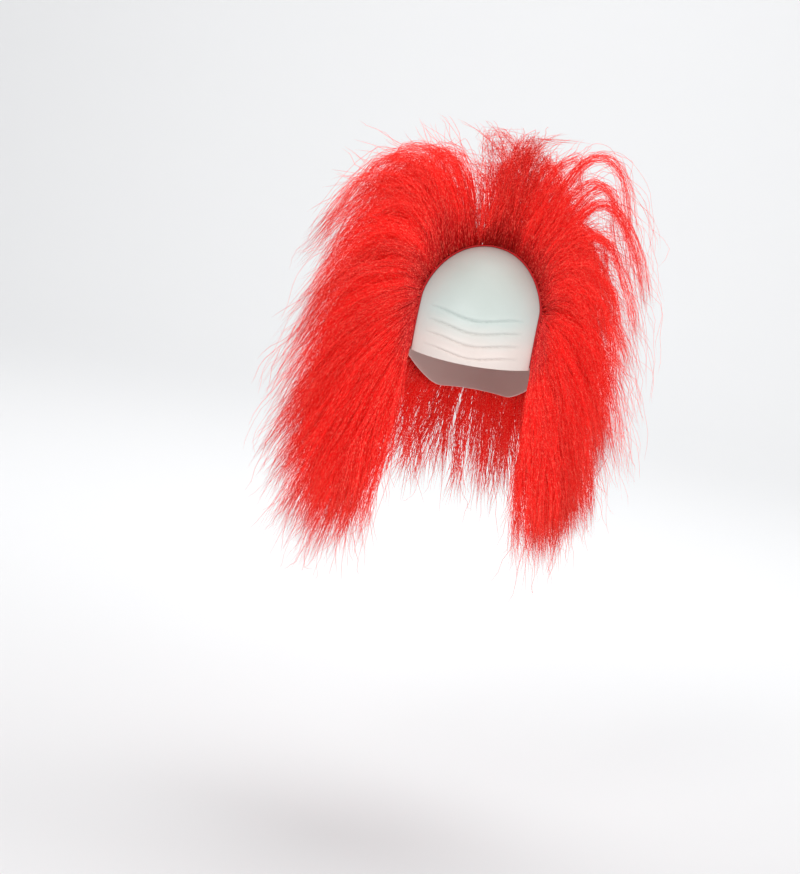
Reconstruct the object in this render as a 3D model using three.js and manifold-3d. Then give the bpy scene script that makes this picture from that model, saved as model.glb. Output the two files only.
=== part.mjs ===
// Clown wig: a moulded latex bald cap with long red hair standing round the bald patch.
// Millimetres, +Z up. The wearer looks along -Y, so +X is the wearer's left. The origin is the
// inside of the crown, where the top of the head touches the cap.
import * as THREE from "three";
import Module from "manifold-3d";

const wasm = await Module();
wasm.setup();

// The cap
const HEAD_BREADTH = 154; // inside the cap, over the ears
const HEAD_LENGTH = 194; // inside the cap, brow to back
const CROWN_HEIGHT = 103; // inside of the crown down to the brow edge
const CAP_WALL = 1.6;
const EAR_DROP = 8; // how far the edge lies below brow level over the ear
const NAPE_DROP = 55; // and at the nape

// The moulded forehead creases
const CREASE_COUNT = 4;
const CREASE_FIRST = 9.5; // lowest crease above the brow edge
const CREASE_PITCH = 12;
const CREASE_SPAN = 92; // length across the forehead
const CREASE_WIDTH = 4.5;
const CREASE_RISE = 1.0;
const CREASE_SINK = 0.9; // how deep a crease's root lies in the wall
const CREASE_WAVE = 2; // how far its middle dips and its ends rise
const CREASE_BENDS = 1.25; // half waves on each side of the middle
const CREASE_ENDS = 0.15; // width left at its ends, as a share of the middle
const CREASE_TOP = 0.3; // width of its top, as a share of its root

// The bald patch, with straight sides below and half an ellipse above
const BALD_WIDTH = 117;
const BALD_WIDEST = 47; // degrees over the head from the brow, up to which it is as wide
const BALD_TOP = 93; // degrees over the head from the brow to its top

// The hair
const HAIR_BASE = 2.2; // woven base under the hair
const HAIR_GAP = 0.3; // between the base and the cap, and between one tuft and the next
const BASE_SETBACK = 3; // the base ends this far above the cap's edge
const HAIR_RISE = 125; // highest hair over its root
const HAIR_DROP = 345; // lowest hair below the crown
const HAIR_SPREAD = 205; // furthest hair to one side
const LOCK_WIDTH = 58;
const LOCK_THICKNESS = 22;
const LOCK_ROOT = 0.55; // width of a lock at its root, as a share
const LOCK_BLUNTNESS = 4; // the higher, the later a lock draws in to its tip
const LOCK_BEND = 0.7; // widest half lock, as a share of the radius that it bends to
const LENGTH_SCATTER = 0.06; // share by which one lock is longer than the next
const NECK_SHARE = 0.8; // width of the free space below the cap, as a share of its edge

// Tips of the front row of hair. around: place round the bald patch, from -1 at the wearer's
// right temple over 0 at the top to 1 at the left temple. out: to the side, share of
// HAIR_SPREAD. tip: height over the crown, share of HAIR_DROP. rise: how far the hair climbs
// over its root, share of HAIR_RISE. straight: 0 where it is thrown up and falls, 1 where it
// hangs straight from root to tip.
const FRONT_TIPS = [
  { around: -1.0, out: -0.34, tip: -0.92, rise: 0, straight: 0.9 },
  { around: -0.94, out: -0.62, tip: -1, rise: 0, straight: 0.75 },
  { around: -0.87, out: -0.86, tip: -0.93, rise: 0, straight: 0.6 },
  { around: -0.78, out: -1, tip: -0.76, rise: 0, straight: 0.45 },
  { around: -0.68, out: -1, tip: -0.56, rise: 0.1, straight: 0.25 },
  { around: -0.56, out: -0.96, tip: -0.34, rise: 0.28, straight: 0.1 },
  { around: -0.42, out: -0.92, tip: -0.1, rise: 0.59, straight: 0 },
  { around: -0.28, out: -0.8, tip: 0.06, rise: 0.8, straight: 0 },
  { around: -0.16, out: -0.64, tip: 0.12, rise: 0.78, straight: 0 },
  { around: -0.1, out: -0.48, tip: 0.15, rise: 0.76, straight: 0 },
  { around: -0.06, out: -0.06, tip: 0.31, rise: 0.84, straight: 0.3 },
  { around: 0.06, out: 0.13, tip: 0.31, rise: 0.87, straight: 0.2 },
  { around: 0.12, out: 0.36, tip: 0.22, rise: 0.88, straight: 0 },
  { around: 0.28, out: 0.72, tip: 0.12, rise: 1, straight: 0 },
  { around: 0.42, out: 0.84, tip: -0.05, rise: 0.77, straight: 0 },
  { around: 0.56, out: 0.84, tip: -0.28, rise: 0.4, straight: 0.1 },
  { around: 0.68, out: 0.84, tip: -0.48, rise: 0.14, straight: 0.25 },
  { around: 0.78, out: 0.76, tip: -0.64, rise: 0, straight: 0.45 },
  { around: 0.87, out: 0.64, tip: -0.76, rise: 0, straight: 0.6 },
  { around: 0.94, out: 0.5, tip: -0.87, rise: 0, straight: 0.75 },
  { around: 1.0, out: 0.35, tip: -0.84, rise: 0, straight: 0.9 },
];

// Tips of the last row, over the nape, with out measured from the middle of the head.
const NAPE_TIPS = [
  { around: -1, out: 0.64, tip: -0.84, rise: 0, straight: 0.6 },
  { around: -0.5, out: 0.76, tip: -0.84, rise: 0, straight: 0.5 },
  { around: 0, out: 0.8, tip: -0.88, rise: 0, straight: 0.5 },
  { around: 0.5, out: 0.74, tip: -0.82, rise: 0, straight: 0.5 },
  { around: 1, out: 0.62, tip: -0.8, rise: 0, straight: 0.6 },
];

// The tufts, each a piece of its own. from, to: places round the bald patch. near, far: shares
// of the way from the hairline to the edge of the cap. Each row of locks says how far along that
// way it is rooted, how many locks it has, the share of the tuft's width that they take and how
// fully they stand out.
const FRONT_BAND = 0.42;
const BACK_BAND = 0.72;
const CROWN_END = 0.36;
const TUFTS = [
  {
    name: "hair_crown",
    from: -CROWN_END,
    to: CROWN_END,
    near: 0,
    far: FRONT_BAND,
    rows: [
      { along: 0.06, locks: 7, width: 1, full: 1 },
      { along: 0.18, locks: 5, width: 1, full: 0.95 },
      { along: 0.31, locks: 4, width: 1, full: 0.95 },
    ],
  },
  {
    name: "hair_right",
    from: -1,
    to: -CROWN_END,
    near: 0,
    far: FRONT_BAND,
    rows: [
      { along: 0.08, locks: 9, width: 1, full: 1 },
      { along: 0.2, locks: 4, width: 1, full: 0.6 },
    ],
  },
  {
    name: "hair_left",
    from: CROWN_END,
    to: 1,
    near: 0,
    far: FRONT_BAND,
    rows: [
      { along: 0.08, locks: 9, width: 1, full: 1 },
      { along: 0.2, locks: 5, width: 1, full: 0.6 },
    ],
  },
  {
    name: "hair_back",
    from: -1,
    to: 1,
    near: FRONT_BAND,
    far: BACK_BAND,
    rows: [{ along: 0.53, locks: 13, width: 0.86, full: 1 }],
  },
  {
    name: "hair_nape",
    from: -1,
    to: 1,
    near: BACK_BAND,
    far: 1,
    rows: [{ along: 0.88, locks: 11, width: 1, full: 0.9 }],
  },
];

// Smoothness of the faceted solids
const FRONT_COLUMNS = 14; // from temple to temple
const BACK_COLUMNS = 20;
const DOME_ROWS = 11;
const LOCK_SIDES = 4;
const LOCK_RINGS = 6;
const BASE_STEP = 14; // degrees
const BASE_ROWS = 8; // from the hairline to the edge
const CREASE_STEPS = 8;

const TEMPLE = 55; // degrees from the front to where the side of the head begins
const EAR = 90;
const NAPE = 150;
const { degToRad, radToDeg, lerp, clamp } = THREE.MathUtils;
const UP = new THREE.Vector3(0, 0, 1);
const HEAD_CENTRE = new THREE.Vector3(0, 0, -CROWN_HEIGHT);

// Helpers

// Closes a stack of rings into one solid. A ring is a loop of points, or one point for a pole;
// an end loop is closed straight across, from its first half to its second.
function loft(rings) {
  const points = rings.flat();
  const triangles = [];
  let start = 0;
  for (let r = 0; r + 1 < rings.length; r++) {
    const [a, b] = [rings[r].length, rings[r + 1].length];
    for (let i = 0; i < Math.max(a, b); i++) {
      const j = i + 1;
      const [p, q] = [start + (i % a), start + (j % a)];
      const [s, t] = [start + a + (i % b), start + a + (j % b)];
      if (a > 1) triangles.push(p, q, s);
      if (b > 1) triangles.push(q, t, s);
    }
    start += a;
  }
  const closeEnd = (ring, first, flip) => {
    const last = first + ring.length - 1;
    for (let i = 0; i + 1 < ring.length / 2; i++) {
      const [p, q, s, t] = [first + i, first + i + 1, last - i, last - i - 1];
      triangles.push(...(flip ? [p, s, q, q, s, t] : [p, q, s, q, t, s]));
    }
  };
  if (rings[0].length > 1) closeEnd(rings[0], 0, true);
  if (rings.at(-1).length > 1) closeEnd(rings.at(-1), start, false);
  return solidOf(points, triangles);
}

function solidOf(points, triangles) {
  const vertProperties = new Float32Array(points.flatMap((p) => p.toArray()));
  const make = (triVerts) =>
    new wasm.Manifold(
      new wasm.Mesh({ numProp: 3, vertProperties, triVerts: new Uint32Array(triVerts) }),
    );
  const made = make(triangles);
  return made.volume() < 0 ? make(triangles.toReversed()) : made;
}

function geometryOf(solid) {
  const { vertProperties, triVerts } = solid.getMesh();
  const geometry = new THREE.BufferGeometry();
  geometry.setAttribute("position", new THREE.BufferAttribute(vertProperties, 3));
  geometry.setIndex(new THREE.BufferAttribute(triVerts, 1));
  geometry.computeVertexNormals();
  return geometry;
}

// The largest body of a solid, so that no cut-off end floats beside it.
function mainBody(solid) {
  return solid.decompose().reduce((a, b) => (a.volume() > b.volume() ? a : b));
}

// Where a function of one number changes sign between two values.
function crossing(fn, low, high) {
  const lowSign = Math.sign(fn(low));
  for (let i = 0; i < 40; i++) {
    const middle = (low + high) / 2;
    if (Math.sign(fn(middle)) === lowSign) low = middle;
    else high = middle;
  }
  return (low + high) / 2;
}

// A table's row at a place round the bald patch, between the rows on either side of it.
function tableAt(table, around) {
  const next = clamp(
    table.findIndex((row) => row.around >= around),
    1,
    table.length - 1,
  );
  const [a, b] = [table[next - 1], table[next]];
  const share = clamp((around - a.around) / (b.around - a.around), 0, 1);
  return {
    out: lerp(a.out, b.out, share),
    tip: lerp(a.tip, b.tip, share),
    rise: lerp(a.rise, b.rise, share),
    straight: lerp(a.straight, b.straight, share),
  };
}

// An even, repeatable scatter between -1 and 1.
const scatter = (i) => 2 * ((i * 0.618034) % 1) - 1;

// The head form

// The point of a shell round the head, in a direction from its middle.
function shellPoint(direction, offset) {
  return new THREE.Vector3(
    (HEAD_BREADTH / 2 + offset) * direction.x,
    (HEAD_LENGTH / 2 + offset) * direction.y,
    (CROWN_HEIGHT + offset) * direction.z,
  ).add(HEAD_CENTRE);
}

// side: degrees round the head from the front, towards the wearer's left. down: degrees from
// the crown.
function headDirection(side, down) {
  const [s, d] = [degToRad(side), degToRad(down)];
  return new THREE.Vector3(Math.sin(d) * Math.sin(s), -Math.sin(d) * Math.cos(s), Math.cos(d));
}

// How far the cap's edge lies below brow level.
function edgeDrop(side) {
  const turn = Math.abs(THREE.MathUtils.euclideanModulo(side + 180, 360) - 180);
  const overEar = EAR_DROP * THREE.MathUtils.smoothstep(turn, TEMPLE, EAR);
  return overEar + (NAPE_DROP - EAR_DROP) * THREE.MathUtils.smoothstep(turn, EAR, NAPE);
}

const edgeDown = (side) => radToDeg(Math.acos(-edgeDrop(side) / CROWN_HEIGHT));

const capColumns = [
  ...Array.from({ length: FRONT_COLUMNS }, (_, i) => lerp(-TEMPLE, TEMPLE, i / FRONT_COLUMNS)),
  ...Array.from({ length: BACK_COLUMNS }, (_, i) => lerp(TEMPLE, 360 - TEMPLE, i / BACK_COLUMNS)),
];

// Rings of a shell from the crown to the cap's edge.
function domeRings(offset) {
  const rings = [[shellPoint(UP, offset)]];
  for (let row = 1; row <= DOME_ROWS; row++) {
    const share = row / DOME_ROWS;
    rings.push(
      capColumns.map((side) => shellPoint(headDirection(side, share * edgeDown(side)), offset)),
    );
  }
  return rings;
}

// The bald cap

// A ridge across the forehead, rippled and fading out at both ends.
function crease(height) {
  const outer = CROWN_HEIGHT + CAP_WALL;
  const halfSpan = CREASE_SPAN / 2;
  const rings = [];
  for (let i = 0; i <= CREASE_STEPS; i++) {
    const across = lerp(-1, 1, i / CREASE_STEPS);
    const ripple = -CREASE_WAVE * Math.cos(across * Math.PI * CREASE_BENDS);
    const down = radToDeg(Math.acos((height + ripple) / outer));
    const girth = (HEAD_BREADTH / 2 + CAP_WALL) * Math.sin(degToRad(down));
    const side = radToDeg(Math.asin((across * halfSpan) / girth));
    const direction = headDirection(side, down);
    const point = shellPoint(direction, CAP_WALL);
    const upward = shellPoint(headDirection(side, down - 1), CAP_WALL).sub(point).normalize();
    const fade = Math.max(CREASE_ENDS, Math.sqrt(1 - across * across));
    const half = (CREASE_WIDTH / 2) * fade;
    const at = (up, out) => point.clone().addScaledVector(upward, up).addScaledVector(direction, out);
    rings.push([
      at(-half, -CREASE_SINK),
      at(-half * CREASE_TOP, CREASE_RISE * fade),
      at(half * CREASE_TOP, CREASE_RISE * fade),
      at(half, -CREASE_SINK),
    ]);
  }
  return loft(rings);
}

function baldCap() {
  let cap = loft([...domeRings(CAP_WALL), ...domeRings(0).toReversed()]);
  for (let i = 0; i < CREASE_COUNT; i++) cap = cap.add(crease(CREASE_FIRST + i * CREASE_PITCH));
  return cap;
}

// The hair

const HAIRLINE_STEP = 2; // degrees
const BASE_END = 6; // degrees of the edge left at the temples for the end of the base

// Hair grows away from the middle of the bald patch.
const middleTurn = degToRad(BALD_TOP / 2);
const patchMiddle = new THREE.Vector3(0, -Math.cos(middleTurn), Math.sin(middleTurn));
const patchUp = new THREE.Vector3(0, Math.sin(middleTurn), Math.cos(middleTurn));

// turn: degrees round the bald patch from its top. away: degrees from the patch's middle.
function scalpDirection(turn, away) {
  const [t, a] = [degToRad(turn), degToRad(away)];
  return patchMiddle
    .clone()
    .multiplyScalar(Math.cos(a))
    .addScaledVector(patchUp, Math.cos(t) * Math.sin(a))
    .addScaledVector(new THREE.Vector3(1, 0, 0), Math.sin(t) * Math.sin(a));
}

// Above zero outside the bald patch.
function pastHairline(direction) {
  const overHead = radToDeg(Math.atan2(direction.z, -direction.y));
  const upper = clamp((overHead - BALD_WIDEST) / (BALD_TOP - BALD_WIDEST), 0, 1);
  const halfWidth = (BALD_WIDTH / 2) * Math.sqrt(1 - upper ** 2);
  return Math.abs(shellPoint(direction, CAP_WALL).x) - halfWidth;
}

// The first place past the hairline, going out from the middle of the patch.
function hairlineAt(turn) {
  const past = (away) => pastHairline(scalpDirection(turn, away));
  let away = HAIRLINE_STEP;
  while (past(away) < 0) away += HAIRLINE_STEP;
  return scalpDirection(turn, crossing(past, away - HAIRLINE_STEP, away));
}

// The hairline meets the edge of the hair at the temples.
const sideOf = (direction) => radToDeg(Math.atan2(direction.x, -direction.y));
const hairEdge = (side) => headDirection(side, edgeDown(side) - radToDeg(BASE_SETBACK / CROWN_HEIGHT));
const templeTurn = crossing((turn) => hairlineAt(turn).z - hairEdge(TEMPLE).z, 60, 140);
const templeSide = sideOf(hairlineAt(templeTurn));

// around: place round the bald patch, from -1 at the right temple to 1 at the left. along: share
// of the way from the hairline to the edge of the hair.
function scalpAt(around, along) {
  const near = hairlineAt(around * templeTurn);
  const far = hairEdge(180 - (180 - templeSide - BASE_END) * around);
  const turn = near.angleTo(far);
  return near
    .multiplyScalar(Math.sin((1 - along) * turn))
    .addScaledVector(far, Math.sin(along * turn))
    .divideScalar(Math.sin(turn));
}

// The curve of a lock: thrown up and out from its root, falling to its tip.
function lockCurve(around, along, full, length) {
  const root = shellPoint(scalpAt(around, along), CAP_WALL + HAIR_GAP + HAIR_BASE / 2);
  const front = tableAt(FRONT_TIPS, around);
  const nape = tableAt(NAPE_TIPS, around);
  const turn = degToRad(around * templeTurn);
  const tip = new THREE.Vector3(
    lerp(front.out, nape.out * Math.sin(turn), along) * HAIR_SPREAD,
    lerp(root.y, nape.out * Math.cos(turn) * HAIR_SPREAD, along),
    lerp(front.tip, nape.tip, along) * HAIR_DROP,
  );
  tip.x = lerp(root.x, tip.x, full);
  tip.y = lerp(root.y, tip.y, full);
  tip.lerp(root, 1 - length);
  const fall = tip.z - root.z;
  const rise = Math.max(lerp(front.rise, nape.rise, along) * HAIR_RISE * full, fall, 0);
  const throwUp = 2 * rise + 2 * Math.sqrt(rise * (rise - fall));
  const middle = root.clone().lerp(tip, 0.5);
  middle.z = root.z + lerp(throwUp, fall, lerp(front.straight, nape.straight, along)) / 2;
  return new THREE.QuadraticBezierCurve3(root, middle, tip);
}

// The radius of a curve's bend.
function bendRadius(curve, share) {
  const velocity = curve.v1.clone().sub(curve.v0).lerp(curve.v2.clone().sub(curve.v1), share);
  const change = curve.v2.clone().sub(curve.v1).sub(curve.v1).add(curve.v0);
  return (2 * velocity.length() ** 3) / velocity.cross(change).length();
}

// A flat lock of hair, as wide as its neighbours leave room for and drawn in to a point.
function lock(curve, around, neighbours, grow) {
  const turn = degToRad(around * templeTurn);
  const sideways = new THREE.Vector3(Math.cos(turn), 0, 0).addScaledVector(patchUp, -Math.sin(turn));
  const rings = [];
  for (let i = 0; i < LOCK_RINGS; i++) {
    const share = i / LOCK_RINGS;
    const forward = curve.getTangent(share);
    const side = sideways.clone().addScaledVector(forward, -forward.dot(sideways)).normalize();
    const face = forward.clone().cross(side);
    const fullness = lerp(LOCK_ROOT, 1, share) * Math.sqrt(1 - share ** LOCK_BLUNTNESS);
    const centre = curve.getPoint(share);
    const room = Math.min(...neighbours.map((other) => other.getPoint(share).distanceTo(centre)));
    const bend = LOCK_BEND * bendRadius(curve, share);
    const width = Math.min((LOCK_WIDTH / 2) * fullness, room / 2 - HAIR_GAP, bend) + grow;
    const thickness = Math.min((LOCK_THICKNESS / 2) * fullness, bend) + grow;
    if (i === 0) centre.addScaledVector(forward, -grow);
    rings.push(
      Array.from({ length: LOCK_SIDES }, (_, k) => {
        const angle = (k / LOCK_SIDES) * 2 * Math.PI;
        return centre
          .clone()
          .addScaledVector(side, width * Math.cos(angle))
          .addScaledVector(face, thickness * Math.sin(angle));
      }),
    );
  }
  const tip = curve.getPoint(1).addScaledVector(curve.getTangent(1), grow);
  return loft([...rings, [tip]]);
}

// The woven base under one tuft.
function hairBase(tuft, grow) {
  const edge = HAIR_GAP / 2 - grow;
  const reach = HEAD_LENGTH / 2;
  const sideShrink = radToDeg(edge / reach) / templeTurn;
  const alongShrink = edge / reach;
  const steps = Math.ceil(((tuft.to - tuft.from) * templeTurn) / BASE_STEP);
  const rows = Math.ceil((tuft.far - tuft.near) * BASE_ROWS);
  const bottom = CAP_WALL + HAIR_GAP - 2 * HAIR_BASE;
  const top = CAP_WALL + HAIR_GAP + HAIR_BASE + grow;
  const rings = [];
  for (let row = 0; row <= rows; row++) {
    const along = lerp(tuft.near + alongShrink, tuft.far - alongShrink, row / rows);
    const arc = Array.from({ length: steps + 1 }, (_, i) =>
      scalpAt(lerp(tuft.from + sideShrink, tuft.to - sideShrink, i / steps), along),
    );
    const outer = arc.map((direction) => shellPoint(direction, top));
    const inner = arc.map((direction) => shellPoint(direction, bottom)).toReversed();
    rings.push([...outer, ...inner]);
  }
  return loft(rings);
}

function tuftSolid(tuft, grow) {
  const pieces = [hairBase(tuft, grow)];
  for (const row of tuft.rows) {
    const places = Array.from({ length: row.locks }, (_, i) =>
      lerp(tuft.from, tuft.to, 0.5 + row.width * ((i + 0.5) / row.locks - 0.5)),
    );
    const curves = places.map((around, i) =>
      lockCurve(around, row.along, row.full, 1 + LENGTH_SCATTER * scatter(i + 1)),
    );
    places.forEach((around, i) => {
      const neighbours = [curves[i - 1], curves[i + 1]].filter(Boolean);
      pieces.push(lock(curves[i], around, neighbours, grow));
    });
  }
  return wasm.Manifold.union(pieces);
}

// The cap, the head in it and the neck below, kept free of hair.
function headSpace() {
  const rings = domeRings(CAP_WALL + HAIR_GAP);
  const floor = HEAD_CENTRE.z - HAIR_DROP;
  const below = rings.at(-1).map((p) => new THREE.Vector3(p.x * NECK_SHARE, p.y * NECK_SHARE, floor));
  return loft([...rings, below, [new THREE.Vector3(0, 0, floor)]]);
}

// The assembly

const latex = new THREE.MeshStandardMaterial({ color: 0xdfe2dc, roughness: 0.5, metalness: 0 });
const hair = new THREE.MeshStandardMaterial({ color: 0xe0201c, roughness: 0.55, metalness: 0 });

const wig = new THREE.Group();

function addPiece(name, solid, material) {
  const mesh = new THREE.Mesh(geometryOf(solid), material);
  mesh.name = name;
  wig.add(mesh);
}

addPiece("bald_cap", baldCap(), latex);
let taken = headSpace();
for (const tuft of TUFTS) {
  const placed = mainBody(tuftSolid(tuft, 0).subtract(taken));
  addPiece(tuft.name, placed, hair);
  taken = taken.add(tuftSolid(tuft, 2 * HAIR_GAP)).add(placed);
}

export default wig;
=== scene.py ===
# %% [markdown]
# # A clown wig
#
# A clown wig of this kind is a thin moulded latex bald cap with long synthetic hair sewn to it all
# round the bald patch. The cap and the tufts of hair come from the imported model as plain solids.
# Here the cap gets its smooth skin and its forehead creases, and each tuft becomes many thin
# strands that follow the same curves as its solid locks. All sizes are in metres.

import math
from collections import namedtuple

import bmesh
import bpy
import numpy as np
from mathutils import Euler, Matrix, Vector


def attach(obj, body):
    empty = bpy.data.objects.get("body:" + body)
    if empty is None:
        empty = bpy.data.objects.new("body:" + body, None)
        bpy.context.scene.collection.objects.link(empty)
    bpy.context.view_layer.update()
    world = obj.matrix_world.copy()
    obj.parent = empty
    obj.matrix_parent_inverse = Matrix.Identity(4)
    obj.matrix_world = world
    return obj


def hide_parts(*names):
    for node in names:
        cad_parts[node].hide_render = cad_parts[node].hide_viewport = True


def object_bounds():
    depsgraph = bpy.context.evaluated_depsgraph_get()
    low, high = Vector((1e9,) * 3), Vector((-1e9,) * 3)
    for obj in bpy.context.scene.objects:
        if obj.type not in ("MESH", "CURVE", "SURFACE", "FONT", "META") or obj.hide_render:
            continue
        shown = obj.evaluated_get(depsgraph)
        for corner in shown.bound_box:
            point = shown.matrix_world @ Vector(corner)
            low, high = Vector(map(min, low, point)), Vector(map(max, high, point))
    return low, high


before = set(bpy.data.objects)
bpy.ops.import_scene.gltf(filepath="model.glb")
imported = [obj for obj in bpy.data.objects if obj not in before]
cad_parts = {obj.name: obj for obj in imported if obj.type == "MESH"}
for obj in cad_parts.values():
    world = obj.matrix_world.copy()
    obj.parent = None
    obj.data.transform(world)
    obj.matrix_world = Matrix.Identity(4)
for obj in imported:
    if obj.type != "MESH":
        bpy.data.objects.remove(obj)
CAD_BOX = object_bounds()
print("frame", sorted(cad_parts), [tuple(round(x, 3) for x in corner) for corner in CAD_BOX])

# %% [markdown]
# ## Camera and stage
#
# The wig is seen almost from in front and a little above, and it leans to one side. The camera is
# turned about its own axis for that lean, so the wig itself stays upright in its frame.
# A long lens from far off keeps the proportions flat, as in a shop photograph.

# %% Camera
LOOK_DOWN = math.radians(12)
LOOK_ASIDE = math.radians(5)  # from a little towards the wearer's left
LEAN = math.radians(9.5)
LENS = 0.100
FILM = 0.036
FRAME_HIGH = 874
FRAME_WIDE = 800
MM_PER_PIXEL = 1.0
CROWN_PIXEL = (493, 249.5)  # where the crown of the cap shows in the frame

distance = LENS / FILM * FRAME_HIGH * MM_PER_PIXEL / 1000
facing = Euler((math.pi / 2 - LOOK_DOWN, 0, LOOK_ASIDE)).to_matrix()
turned = facing @ Matrix.Rotation(LEAN, 3, "Z")
from_middle = Vector((CROWN_PIXEL[0] - FRAME_WIDE / 2, FRAME_HIGH / 2 - CROWN_PIXEL[1], 0))
aim = turned @ (-from_middle * MM_PER_PIXEL / 1000)
camera = bpy.data.objects.new("camera", bpy.data.cameras.new("camera"))
camera.data.lens = LENS * 1000
camera.data.sensor_width = FILM * 1000
camera.matrix_world = Matrix.Translation(aim + turned @ Vector((0, 0, distance))) @ turned.to_4x4()
bpy.context.collection.objects.link(camera)
bpy.context.scene.camera = camera
print("camera", [round(x, 3) for x in camera.location], "distance", round(distance, 3))

# %% [markdown]
# The floor is a sheet of pale paper that sweeps up behind the wig, as in a photo studio, so that
# no edge shows. It starts as a flat grid, and its far part is bent upwards round a quarter circle.

# %% Floor
FLOOR = -0.62
FLOOR_BEND = 2.2  # where the sweep begins
SWEEP = 1.4


def paper_sweep():
    made = bmesh.new()
    bmesh.ops.create_grid(made, x_segments=2, y_segments=60, size=6)
    for vert in made.verts:
        past = vert.co.y - FLOOR_BEND
        angle = min(max(past / SWEEP, 0), math.pi / 2)
        if past > 0:
            straight = past - angle * SWEEP
            vert.co.y = FLOOR_BEND + SWEEP * math.sin(angle)
            vert.co.z = SWEEP * (1 - math.cos(angle)) + straight
        vert.co.z += FLOOR
    return made


def object_from(made, name, smooth=True):
    mesh = bpy.data.meshes.new(name)
    made.to_mesh(mesh)
    made.free()
    mesh.polygons.foreach_set("use_smooth", np.full(len(mesh.polygons), smooth))
    piece = bpy.data.objects.new(name, mesh)
    bpy.context.collection.objects.link(piece)
    return piece


floor = object_from(paper_sweep(), "paper_sweep")
print("floor", len(floor.data.polygons), "faces")

# %% [markdown]
# The light is soft and comes mostly from the front, so the red stays bright between the strands.
# Three large area lights and a pale world do that. A fourth one faces the paper behind the wig.

# %% Lights
SOFTBOXES = [
    # name, place, aimed at, size, watts
    ("key", (-1.3, -2.2, 1.5), (0, 0, -0.12), 1.6, 42),
    ("fill", (1.6, -2.0, 0.5), (0, 0, -0.12), 1.8, 28),
    ("top", (0.2, 0.4, 2.0), (0, 0, -0.12), 1.6, 20),
    ("backdrop", (0, 0.9, 1.6), (0, 3.6, 0.3), 2.4, 40),
]
for name, place, aimed_at, size, watts in SOFTBOXES:
    light = bpy.data.lights.new(name, "AREA")
    light.size = size
    light.energy = watts
    lamp = bpy.data.objects.new(name, light)
    towards = Vector(aimed_at) - Vector(place)
    lamp.matrix_world = Matrix.Translation(place) @ towards.to_track_quat("-Z", "Y").to_matrix().to_4x4()
    bpy.context.collection.objects.link(lamp)

WORLD_LIGHT = 0.5
world = bpy.data.worlds.new("studio")
world.use_nodes = True
world.node_tree.nodes["Background"].inputs["Color"].default_value = (1, 1, 1, 1)
world.node_tree.nodes["Background"].inputs["Strength"].default_value = WORLD_LIGHT
bpy.context.scene.world = world
bpy.context.scene.view_settings.view_transform = "Standard"
print("lights", [row[0] for row in SOFTBOXES])

# %% [markdown]
# ## The head form
#
# Every piece lies on one form: half an egg as long and as broad as the head, which the cap covers.
# The hair needs places on it, so a place is given by two numbers: how far round the bald patch it
# lies, from -1 at the right temple over 0 at the top to 1 at the left temple, and how far along
# the way from the hairline to the edge of the hair. These helpers work on whole arrays at once.

# %% Places on the head
HEAD_HALF = np.array((0.077, 0.097, 0.103))
HEAD_MIDDLE = np.array((0.0, 0.0, -0.103))
CAP_WALL = 0.0016
EAR_DROP = 0.008
NAPE_DROP = 0.055
TEMPLE, EAR, NAPE = 55, 90, 150


def shell(direction, offset):
    return direction * (HEAD_HALF + np.asarray(offset)[..., None]) + HEAD_MIDDLE


def head_direction(side, down):
    s, d = np.radians(side), np.radians(down)
    return np.stack([np.sin(d) * np.sin(s), -np.sin(d) * np.cos(s), np.cos(d)], axis=-1)


def smooth_step(value, low, high):
    share = np.clip((value - low) / (high - low), 0, 1)
    return share * share * (3 - 2 * share)


def edge_down(side):
    turn = np.abs((np.asarray(side) + 180) % 360 - 180)
    drop = EAR_DROP * smooth_step(turn, TEMPLE, EAR)
    drop = drop + (NAPE_DROP - EAR_DROP) * smooth_step(turn, EAR, NAPE)
    return np.degrees(np.arccos(-drop / HEAD_HALF[2]))


brow = shell(head_direction(0, 90), CAP_WALL)
print("brow edge at", brow.round(4), "nape edge", edge_down(180).round(1), "degrees down")

# %% [markdown]
# The bald patch has straight sides below and half an ellipse above. Its half width depends on the
# angle over the head, counted from the brow. The hairline is where a line over the head, going out
# from the middle of the patch, first leaves that outline.

# %% Hairline
BALD_WIDTH = 0.117
BALD_WIDEST = 47  # degrees over the head, up to which it is as wide
BALD_TOP = 93
BASE_SETBACK = 0.003
BASE_END = 6

patch_turn = math.radians(BALD_TOP)
PATCH_MIDDLE = np.array((0, -math.cos(patch_turn / 2), math.sin(patch_turn / 2)))
PATCH_UP = np.array((0, math.sin(patch_turn / 2), math.cos(patch_turn / 2)))
ACROSS = np.array((1.0, 0.0, 0.0))


def scalp_direction(turn, away):
    t, a = np.radians(turn)[..., None], np.radians(away)[..., None]
    ring = PATCH_UP * np.cos(t) + ACROSS * np.sin(t)
    return PATCH_MIDDLE * np.cos(a) + ring * np.sin(a)


def past_hairline(direction):
    over_head = np.degrees(np.arctan2(direction[..., 2], -direction[..., 1]))
    upper = np.clip((over_head - BALD_WIDEST) / (BALD_TOP - BALD_WIDEST), 0, 1)
    half_width = BALD_WIDTH / 2 * np.sqrt(1 - upper**2)
    return np.abs(shell(direction, CAP_WALL)[..., 0]) - half_width


AWAYS = np.arange(2, 90, 0.25)
TURNS = np.linspace(0, 140, 281)
grid = past_hairline(scalp_direction(TURNS[:, None], AWAYS[None, :]))
first = np.argmax(grid >= 0, axis=1)
row = np.arange(len(TURNS))
share = grid[row, first - 1] / (grid[row, first - 1] - grid[row, first])
HAIRLINE_AWAY = AWAYS[first - 1] + share * (AWAYS[first] - AWAYS[first - 1])


def hairline_at(turn):
    return scalp_direction(turn, np.interp(np.abs(turn), TURNS, HAIRLINE_AWAY))


def hair_edge(side):
    return head_direction(side, edge_down(side) - math.degrees(BASE_SETBACK / HEAD_HALF[2]))


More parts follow.
